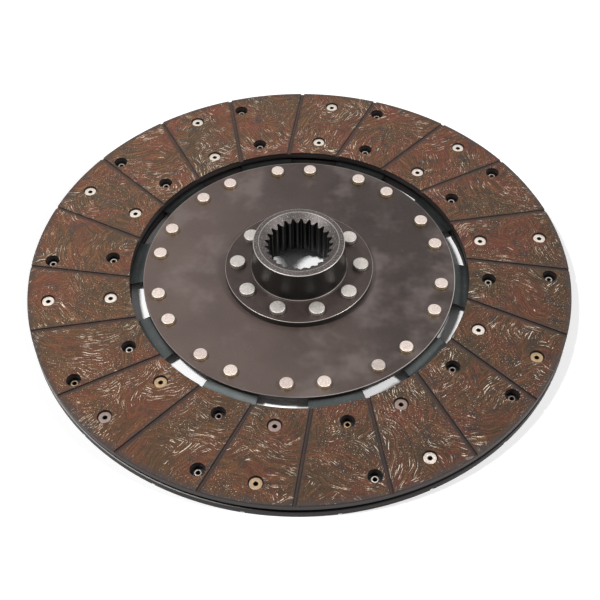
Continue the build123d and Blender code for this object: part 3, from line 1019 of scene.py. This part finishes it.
def segment_sheet(sizes, rivets, facing, unit):
    """One cushion segment with its middle on +X: foot, stepped neck, notch, flag and joggled paddle."""
    half_slit, half_step, half_unit = sizes.slit / 2, sizes.joggle / 2, unit / 2

    def beside(radius, turn, side):
        """The point beside a slit at the segment's clockwise (-1) or anticlockwise (1) side."""
        return polar(radius, turn - side * math.asin(half_slit / radius))

    def along(radius, start, end, steps):
        """An arc between two points, given by their angles."""
        return arc(radius, math.atan2(start.y, start.x), math.atan2(end.y, end.x), 0, steps)

    def corner(sign):
        """The rounded outer corner at one side, from the rim towards the slit."""
        centre_y = sign * (half_slit + sizes.corner)
        reach = math.sqrt((sizes.outer_radius - sizes.corner) ** 2 - centre_y**2)
        centre = Matrix.Rotation(sign * half_unit, 3, "Z") @ Vector((reach, -centre_y, 0))
        start = sign * half_unit - math.asin(centre_y / (sizes.outer_radius - sizes.corner))
        end = sign * (half_unit + math.pi / 2)
        return [centre + point for point in arc(sizes.corner, start, end, 0, CORNER_STEPS)]

    foot_low = beside(sizes.foot_inner, sizes.foot_start, -1)
    foot_high = beside(sizes.foot_inner, half_unit, 1)
    neck_start = beside(sizes.foot_outer, half_unit, 1)
    wide_start = beside(sizes.foot_outer, sizes.neck_end, 1)
    wide_end = beside(sizes.neck_outer, sizes.neck_end, 1)
    narrow = beside(sizes.neck_outer, half_unit, 1)
    flag_low = beside(sizes.flag_inner, -half_unit, -1)
    flag_high = Vector((math.sqrt(sizes.flag_inner**2 - half_step**2), -half_step, 0))
    notch_low = Vector((math.sqrt(sizes.notch_end**2 - half_step**2), -half_step, 0))
    notch_high = Vector((notch_low.x, half_step, 0))
    neck_low = beside(sizes.notch_start, sizes.neck_start, -1)
    foot_outer_high = beside(sizes.foot_outer, sizes.neck_start, -1)
    foot_outer_low = beside(sizes.foot_outer, sizes.foot_start, -1)
    high_corner, low_corner = corner(1), corner(-1)[::-1]
    outline = along(sizes.foot_inner, foot_low, foot_high, FOOT_STEPS)
    outline += [neck_start, wide_start, wide_end, narrow]
    outline += high_corner[::-1]
    outline += along(sizes.outer_radius, high_corner[0], low_corner[-1], PADDLE_STEPS)[1:-1]
    outline += low_corner[::-1]
    outline += along(sizes.flag_inner, flag_low, flag_high, FLAG_STEPS)
    outline += along(sizes.notch_end, notch_low, notch_high, NOTCH_STEPS)
    outline += [Vector((sizes.notch_start, half_step, 0)), neck_low]
    outline += along(sizes.foot_outer, foot_outer_high, foot_outer_low, NECK_STEPS)

    feet = foot_rivet_places(rivets, 0)
    holes = [circle(centre, rivets.foot_shank + rivets.hole_clearance, 0) for centre in feet]
    for radius, spread in facing_circles(facing).values():
        holes += [circle(polar(radius, sign * spread), facing.land_hole, 0) for sign in (-1, 1)]
    mesh = bmesh.new()
    flat_face(mesh, outline, *holes)

    middle = polar(1, half_unit / 2)
    bend_start = sizes.bend_start * math.cos(half_unit / 2)
    bend = sizes.bend_end * math.cos(half_unit / 2) - bend_start
    shares = [i / BEND_STEPS for i in range(BEND_STEPS + 1)]
    cuts = [(Vector((0, 1, 0)), -half_step + sizes.joggle * share) for share in shares]
    cuts += [(middle, bend_start + bend * share) for share in shares]
    for normal, distance in cuts:
        geometry = mesh.verts[:] + mesh.edges[:] + mesh.faces[:]
        plane = {"plane_co": normal * distance, "plane_no": normal}
        bmesh.ops.bisect_plane(mesh, geom=geometry, dist=WELD, **plane)

    def sheet_height(point):
        """Height of the sheet's underside: down the neck's bend, then across the joggle."""
        share = (point.y + half_step) / sizes.joggle
        if math.hypot(point.x, point.y) < sizes.neck_outer + WELD:
            share = (point.dot(middle) - bend_start) / bend
        share = min(max(share, 0), 1)
        high = SEGMENT_HIGH.z - sizes.sheet
        return high - (high - SEGMENT_LOW.z) * share**2 * (3 - 2 * share)

    for point in mesh.verts:
        point.co.z = sheet_height(point.co)
    raised = bmesh.ops.extrude_face_region(mesh, geom=mesh.faces[:])
    for item in raised["geom"]:
        if isinstance(item, bmesh.types.BMVert):
            item.co.z += sizes.sheet
    return mesh


def plate_wedge(sizes, rivets, unit):
    """One segment's share of the drive plate, with a hub rivet's hole and two segment rivets' holes."""
    mesh = bmesh.new()
    top, bottom, outer = PLATE_HIGH.z, PLATE_LOW.z, sizes.outer_radius
    start, end = PLATE_SEAM, PLATE_SEAM + unit
    rim = [(outer - sizes.edge, top), (outer, top), (outer, bottom), (outer - sizes.edge, bottom)]
    rim = rounded(rim, sizes.edge)
    rows = [arc(radius, start, end, height, PLATE_STEPS) for radius, height in rim]
    for upper, lower in zip(rows, rows[1:]):
        ladder(mesh, upper, lower)
    bore = [arc(sizes.hub_hole, start, end, height, PLATE_STEPS) for height in (top, bottom)]
    ladder(mesh, *bore)
    places = [(polar(rivets.hub_circle, rivets.hub_phase + unit), rivets.hub_shank)]
    places += [(centre, rivets.foot_shank) for centre in foot_rivet_places(rivets, unit / 2)]
    holes = [circle(centre, shank + rivets.hole_clearance, top) for centre, shank in places]
    for row, inner_row, height in ((rows[0], bore[0], top), (rows[-1], bore[1], bottom)):
        flat_face(mesh, row + inner_row[::-1], *(at_height(hole, height) for hole in holes))
    for hole in holes:
        ladder(mesh, hole, at_height(hole, bottom), closed=True)
    weld(mesh)
    return mesh


def hub_profile(sizes):
    """The hub's turned outline, from inside its rear chamfer round to inside its lead-in."""
    chamfer = sizes.tip + sizes.rear_chamfer
    inside = sizes.root + CONE_MARGIN
    collar_top = sizes.flange_top + sizes.collar_height
    corners = [
        (inside, HUB_LOW.z + chamfer - inside),
        (chamfer, HUB_LOW.z),
        (sizes.spigot, HUB_LOW.z),
        (sizes.spigot, PLATE_HIGH.z),
        (sizes.flange, PLATE_HIGH.z),
        (sizes.flange, sizes.flange_top),
        (sizes.collar, sizes.flange_top),
        (sizes.collar, collar_top),
        (sizes.barrel_root, collar_top + sizes.edge),
        (sizes.barrel_top, sizes.rim),
        (sizes.ridge, HUB_HIGH.z),
        (inside, HUB_HIGH.z - (sizes.ridge - inside) * math.tan(sizes.lead_in)),
    ]
    return rounded(corners, sizes.edge)


def hub_wedge(sizes, rivets, rivet_count, copies):
    """The hub round its first few spline slots, with the flange's rivet holes that lie there."""
    half_mouth, half_floor = sizes.slot_mouth / 2, sizes.slot_floor / 2
    mouth = Vector((math.sqrt(sizes.tip**2 - half_mouth**2), half_mouth, 0))
    floor_centre = Vector((sizes.root - half_floor, 0, 0))
    mouth_turn = math.atan2(mouth.y, mouth.x)
    tooth_turn = math.pi / sizes.teeth
    half = [polar(sizes.tip, tooth_turn), polar(sizes.tip, (tooth_turn + mouth_turn) / 2), mouth]
    half.append((mouth + floor_centre + polar(half_floor, math.pi / 2)) / 2)
    half += [floor_centre + polar(half_floor, turn) for turn in (math.pi / 2, math.pi / 4)]
    slot = [Vector((point.x, -point.y, 0)) for point in half] + [Vector((sizes.root, 0, 0))] + half[::-1]
    outline = hub_profile(sizes)
    columns = []
    for number in range(sizes.teeth // copies):
        for point in slot[min(number, 1) :]:
            radius = point.length
            turn = math.atan2(point.y, point.x) + FULL_TURN * number / sizes.teeth
            column = [polar(across, turn, height) for across, height in outline]
            cone = HUB_HIGH.z - (sizes.ridge - radius) * math.tan(sizes.lead_in)
            column.append(polar(radius, turn, cone))
            column.append(polar(radius, turn, HUB_LOW.z + sizes.tip + sizes.rear_chamfer - radius))
            columns.append(column)

    mesh = bmesh.new()
    beyond = [point.x > rivets.hub_circle for point in outline]
    under, over = (i for i in range(len(beyond) - 1) if beyond[i] != beyond[i + 1])
    for first, second in zip(columns, columns[1:]):
        ladder(mesh, first[under + 1 : over + 1], second[under + 1 : over + 1])
        ladder(mesh, first[over + 1 :] + first[: under + 1], second[over + 1 :] + second[: under + 1])
    places = [
        polar(rivets.hub_circle, rivets.hub_phase - sizes.phase + FULL_TURN * number / rivet_count)
        for number in range(rivet_count // copies)
    ]
    drill = rivets.hub_shank + rivets.hole_clearance
    holes = [circle(centre, drill, outline[under].y) for centre in places]
    for i in (under, over):
        row = [column[i] for column in columns] + [column[i + 1] for column in columns[::-1]]
        flat_face(mesh, row, *(at_height(hole, outline[i].y) for hole in holes))
    for hole in holes:
        ladder(mesh, hole, at_height(hole, outline[over].y), closed=True)
    weld(mesh)
    return mesh


def solid_rivet(rivets, kind, grip):
    """A hub or foot rivet through a grip, flat-headed above and formed below, and its two ends."""
    parts = ("head", "head_height", "tail", "tail_height", "shank")
    head, head_height, tail, tail_height, shank = (getattr(rivets, f"{kind}_{part}") for part in parts)
    low, high = grip
    bottom, top = low - tail_height, high + head_height
    corners = [
        (0, bottom),
        (tail / 2, bottom + CROWN_FALL),
        (tail, bottom + CROWN),
        (tail, low),
        (shank, low),
        (shank, high),
        (head, high),
        (head, top - CROWN),
        (head / 2, top - CROWN_FALL),
        (0, top),
    ]
    return turned(rounded(corners, rivets.edge, closed=True), RIVET_STEPS), (bottom, top)


def tube_ends(rivets):
    """Heights of the tail and the head of the front facing's tubular rivets."""
    return SEGMENT_HIGH.z - SHEET - rivets.tube_tail, FACING_HIGH.z - rivets.tube_recess


def tubular_rivet(rivets):
    """A tubular rivet of the front facing: rolled head up, swaged collar and open tail below."""
    tail, head_top = tube_ends(rivets)
    head_low = head_top - rivets.tube_head_thickness
    sheet_low = SEGMENT_HIGH.z - SHEET
    collar_low = sheet_low - rivets.tube_collar_height
    corners = [
        (rivets.tube_bore, tail),
        (rivets.tube, tail),
        (rivets.tube, collar_low),
        (rivets.tube_collar, collar_low),
        (rivets.tube_collar, sheet_low),
        (rivets.tube, sheet_low),
        (rivets.tube, head_low),
        (rivets.tube_head, head_low),
        (rivets.tube_head, head_top),
        (rivets.tube_bore + TUBE_LEAD_IN, head_top),
        (rivets.tube_bore, head_top - TUBE_LEAD_IN_DEPTH),
    ]
    return turned(rounded(corners, TUBE_EDGE, closed=True), TUBE_STEPS)


def rivet_ring(name, mesh, steel, count, radius, phase, seed, spread=0.0):
    """Like rivets on a circle: one for each segment, or a pair where there is a spread."""
    piece = new_piece(name, mesh)
    places = {"Groups": count, "Per Group": 2 if spread else 1, "Circle Radius": radius, "Phase": phase}
    run_tree(piece, rivet_circle_tree, **places, Spread=spread, Seed=seed, Material=steel)
    return piece


# ---- operators


class CLUTCH_OT_facings(bpy.types.Operator):
    """Build the front and rear friction facings"""

    bl_idname = "clutch.facings"
    bl_label = "Friction facings"

    def execute(self, context):
        scene = context.scene
        sizes, count = scene.clutch_facing, scene.clutch_segment.count
        lining = woven_lining(sizes, scene.clutch_colours)
        front = new_piece("front_facing_woven", facing_wedge(sizes, FULL_TURN / count))
        run_tree(front, turned_copies_tree, Count=count, Phase=0.0, Weld=WELD, Material=lining)
        rear = turned_over("rear_facing_woven", front)
        hand_over(front, "friction_lining", "front_facing")
        hand_over(rear, "friction_lining", "rear_facing")
        return {"FINISHED"}


class CLUTCH_OT_segments(bpy.types.Operator):
    """Build the ten sprung cushion segments"""

    bl_idname = "clutch.segments"
    bl_label = "Cushion segments"

    def execute(self, context):
        scene = context.scene
        sizes = scene.clutch_segment
        unit = FULL_TURN / sizes.count
        steel = spring_sheet(scene.clutch_colours)
        for number, node in enumerate(SEGMENT_NODES):
            sheet = segment_sheet(sizes, scene.clutch_rivet, scene.clutch_facing, unit)
            sheet.transform(Matrix.Rotation((number + 0.5) * unit, 4, "Z"))
            segment = new_piece(f"{node}_sprung", sheet)
            segment.data.materials.append(steel)
            hand_over(segment, "spring_steel", node)
        return {"FINISHED"}


class CLUTCH_OT_plate(bpy.types.Operator):
    """Build the drive plate"""

    bl_idname = "clutch.plate"
    bl_label = "Drive plate"

    def execute(self, context):
        scene = context.scene
        sizes, count = scene.clutch_plate, scene.clutch_segment.count
        wedge = plate_wedge(sizes, scene.clutch_rivet, FULL_TURN / count)
        plate = new_piece("drive_plate_oiled", wedge)
        steel = oiled_plate(sizes, scene.clutch_colours)
        run_tree(plate, turned_copies_tree, Count=count, Phase=0.0, Weld=WELD, Material=steel)
        hand_over(plate, "plate_steel", "drive_plate")
        return {"FINISHED"}


class CLUTCH_OT_hub(bpy.types.Operator):
    """Build the splined hub"""

    bl_idname = "clutch.hub"
    bl_label = "Splined hub"

    def execute(self, context):
        scene = context.scene
        sizes, rivet_count = scene.clutch_hub, scene.clutch_segment.count
        steel = phosphated_hub(sizes, scene.clutch_colours)
        copies = math.gcd(sizes.teeth, rivet_count)
        wedge = hub_wedge(sizes, scene.clutch_rivet, rivet_count, copies)
        hub = new_piece("hub_splined", wedge)
        run_tree(hub, turned_copies_tree, Count=copies, Phase=sizes.phase, Weld=WELD, Material=steel)
        hand_over(hub, "hub_steel", "hub")
        return {"FINISHED"}


class CLUTCH_OT_solid_rivets(bpy.types.Operator):
    """Set the solid rivets through the hub's flange and the segments' feet"""

    bl_idname = "clutch.solid_rivets"
    bl_label = "Solid rivets"

    def execute(self, context):
        scene = context.scene
        rivets, colours = scene.clutch_rivet, scene.clutch_colours
        count = scene.clutch_segment.count

        mesh, ends = solid_rivet(rivets, "hub", (PLATE_LOW.z, scene.clutch_hub.flange_top))
        tones = (colours.hub_rivet, colours.hub_rivet, colours.rivet_dull)
        steel = plated_rivet("Plated hub rivet", ends, tones, colours.hub_rivet)
        place = (rivets.hub_circle, rivets.hub_phase, HUB_RIVET_SEED)
        piece = rivet_ring("hub_rivets_plated", mesh, steel, count, *place)
        hand_over(piece, "rivet_steel", "hub_rivets")

        mesh, ends = solid_rivet(rivets, "foot", (PLATE_LOW.z - SHEET, PLATE_HIGH.z))
        tones = (colours.rivet, colours.rivet_pink, colours.rivet_dull)
        steel = plated_rivet("Plated segment rivet", ends, tones, colours.rivet_side)
        phase = FULL_TURN / count / 2 + rivets.foot_phase
        place = (rivets.foot_circle, phase, FOOT_RIVET_SEED, rivets.foot_spread)
        piece = rivet_ring("segment_rivets_plated", mesh, steel, count, *place)
        hand_over(piece, "rivet_steel", "segment_rivets")
        return {"FINISHED"}


class CLUTCH_OT_facing_rivets(bpy.types.Operator):
    """Set the tubular rivets of both facings"""

    bl_idname = "clutch.facing_rivets"
    bl_label = "Facing rivets"

    def execute(self, context):
        scene = context.scene
        rivets, colours = scene.clutch_rivet, scene.clutch_colours
        count = scene.clutch_segment.count
        tones = (colours.tube, colours.dull_tin, colours.tarnish)
        ends, bore = tube_ends(rivets), rivets.tube_bore
        steel = plated_rivet("Plated tube", ends, tones, colours.rivet_dull, bore)
        rows = facing_circles(scene.clutch_facing)
        for seed, (row, (radius, spread)) in enumerate(rows.items()):
            name, phase = f"front_facing_rivets_{row}_plated", FULL_TURN / count / 2 - spread
            front = rivet_ring(name, tubular_rivet(rivets), steel, count, radius, phase, seed)
            rear = turned_over(f"rear_facing_rivets_{row}_plated", front)
            hand_over(front, "tubular_rivet_steel", f"front_facing_rivets_{row}")
            hand_over(rear, "tubular_rivet_steel", f"rear_facing_rivets_{row}")
        return {"FINISHED"}


def white_where_seen(graph):
    """1 for rays that show the background to the camera, directly or by gloss and glass."""
    rays = ("Is Camera Ray", "Is Glossy Ray", "Is Transmission Ray")
    return graph.largest(*graph.node("ShaderNodeLightPath", output=rays))


def lamp(name, sizes, direction, power):
    """A square area lamp that shines on the disc from a direction."""
    data = bpy.data.lights.new(name, "AREA")
    data.energy = power
    data.size = sizes.lamp_size
    light = placed(name, data)
    place = Matrix.Rotation(sizes.yaw, 3, "Z") @ Vector(direction).normalized() * sizes.lamp_distance
    light.location = place
    light.rotation_euler = place.to_track_quat("Z", "Y").to_euler()


class CLUTCH_OT_stage(bpy.types.Operator):
    """Lay the floor and set up the world, the lamps and the camera"""

    bl_idname = "clutch.stage"
    bl_label = "Stage"

    def execute(self, context):
        scene, sizes = context.scene, context.scene.clutch_stage
        self.lay_floor(sizes)
        self.light_world(scene, sizes)
        lamp("Key", sizes, KEY_DIRECTION, sizes.key_power)
        lamp("Side", sizes, SIDE_DIRECTION, sizes.side_power)
        self.set_camera(scene, sizes)
        scene.view_settings.view_transform = "Standard"
        return {"FINISHED"}

    def lay_floor(self, sizes):
        """A pale floor that is seen as white from afar and keeps its shadows by the disc."""
        mesh = bmesh.new()
        lowered = Matrix.Translation((0, 0, -FLOOR_DROP))
        bmesh.ops.create_grid(mesh, x_segments=1, y_segments=1, size=FLOOR_HALF_WIDTH, matrix=lowered)
        floor = new_piece("floor", mesh)
        material = bpy.data.materials.new("Floor")
        graph = Graph(empty_tree(material))
        x, y, _ = graph.parts(graph.node("ShaderNodeTexCoord", output="Object"))
        radius = graph.distance(x, y)
        below = graph.remapped(radius, SEGMENT_OUTER_RADIUS, SEGMENT_OUTER_RADIUS - FLOOR_FADE)
        straight = graph.node("ShaderNodeLightPath", output="Is Camera Ray")
        grey = FLOOR_GREY + straight * below * sizes.floor_boost
        paper = graph.node("ShaderNodeBsdfDiffuse", None, {"Color": graph.combined(grey, grey, grey)})
        far = graph.remapped(radius, FLOOR_LIFT_START, FLOOR_LIFT_END, sizes.floor_lift)
        lift = white_where_seen(graph) * (1 - below) * far
        lift = graph.node("ShaderNodeEmission", None, {"Strength": lift})
        both = graph.node("ShaderNodeAddShader", None, {0: paper, 1: lift})
        graph.node("ShaderNodeOutputMaterial", None, {"Surface": both}, None)
        floor.data.materials.append(material)

    def light_world(self, scene, sizes):
        """A white sky where it is seen, and an even soft light where it isn't."""
        scene.world = bpy.data.worlds.new("Studio")
        graph = Graph(empty_tree(scene.world))
        soft, white = (
            graph.node("ShaderNodeBackground", None, {"Color": (1, 1, 1), "Strength": strength})
            for strength in (sizes.fill, 1.0)
        )
        sky = graph.node("ShaderNodeMixShader", None, {0: white_where_seen(graph), 1: soft, 2: white})
        graph.node("ShaderNodeOutputWorld", None, {"Surface": sky}, None)

    def set_camera(self, scene, sizes):
        """The camera in front of the disc, looking down on it."""
        data = bpy.data.cameras.new("Camera")
        data.lens = sizes.lens
        data.clip_end = CAMERA_REACH
        camera = placed("Camera", data)
        rise, reach = math.sin(sizes.elevation), math.cos(sizes.elevation)
        back = Vector((0, -reach, rise))
        axes = Matrix(((1, 0, 0), (0, rise, reach), back)).transposed()
        pose = (Matrix.Rotation(sizes.roll, 3, back) @ axes).to_4x4()
        pose.translation = Vector((sizes.aim_x, sizes.aim_y, 0)) + back * sizes.distance
        lifted = Matrix.Translation((0, 0, DISC_THICKNESS)) @ Matrix.Rotation(sizes.yaw, 4, "Z")
        camera.matrix_world = lifted @ pose
        scene.camera = camera


class CLUTCH_PT_panel(bpy.types.Panel):
    """The clutch disc's operators and sizes"""

    bl_idname = "CLUTCH_PT_panel"
    bl_label = "Clutch Disc"
    bl_space_type = "VIEW_3D"
    bl_region_type = "UI"
    bl_category = "Clutch Disc"

    def draw(self, context):
        for operator in OPERATORS:
            self.layout.operator(operator.bl_idname)
        for name in SETTINGS:
            box = self.layout.box()
            box.label(text=name.replace("clutch_", "").capitalize())
            group = getattr(context.scene, name)
            for prop in group.bl_rna.properties:
                if prop.identifier not in ("rna_type", "name"):
                    box.prop(group, prop.identifier)


OPERATORS = (
    CLUTCH_OT_stage,
    CLUTCH_OT_facings,
    CLUTCH_OT_segments,
    CLUTCH_OT_plate,
    CLUTCH_OT_hub,
    CLUTCH_OT_solid_rivets,
    CLUTCH_OT_facing_rivets,
)
SETTINGS = {
    "clutch_facing": FacingSizes,
    "clutch_segment": SegmentSizes,
    "clutch_plate": PlateSizes,
    "clutch_hub": HubSizes,
    "clutch_rivet": RivetSizes,
    "clutch_colours": DiscColours,
    "clutch_stage": StageSizes,
}


def register():
    for name, group in SETTINGS.items():
        bpy.utils.register_class(group)
        setattr(bpy.types.Scene, name, PointerProperty(type=group))
    for item in (*OPERATORS, CLUTCH_PT_panel):
        bpy.utils.register_class(item)


def unregister():
    for item in reversed((*OPERATORS, CLUTCH_PT_panel)):
        bpy.utils.unregister_class(item)
    for name, group in reversed(SETTINGS.items()):
        delattr(bpy.types.Scene, name)
        bpy.utils.unregister_class(group)


def main():
    """Builds the stage and every piece."""
    register()
    bpy.ops.clutch.stage()
    bpy.ops.clutch.facings()
    bpy.ops.clutch.segments()
    bpy.ops.clutch.plate()
    bpy.ops.clutch.hub()
    bpy.ops.clutch.solid_rivets()
    bpy.ops.clutch.facing_rivets()


if __name__ == "__main__":
    main()
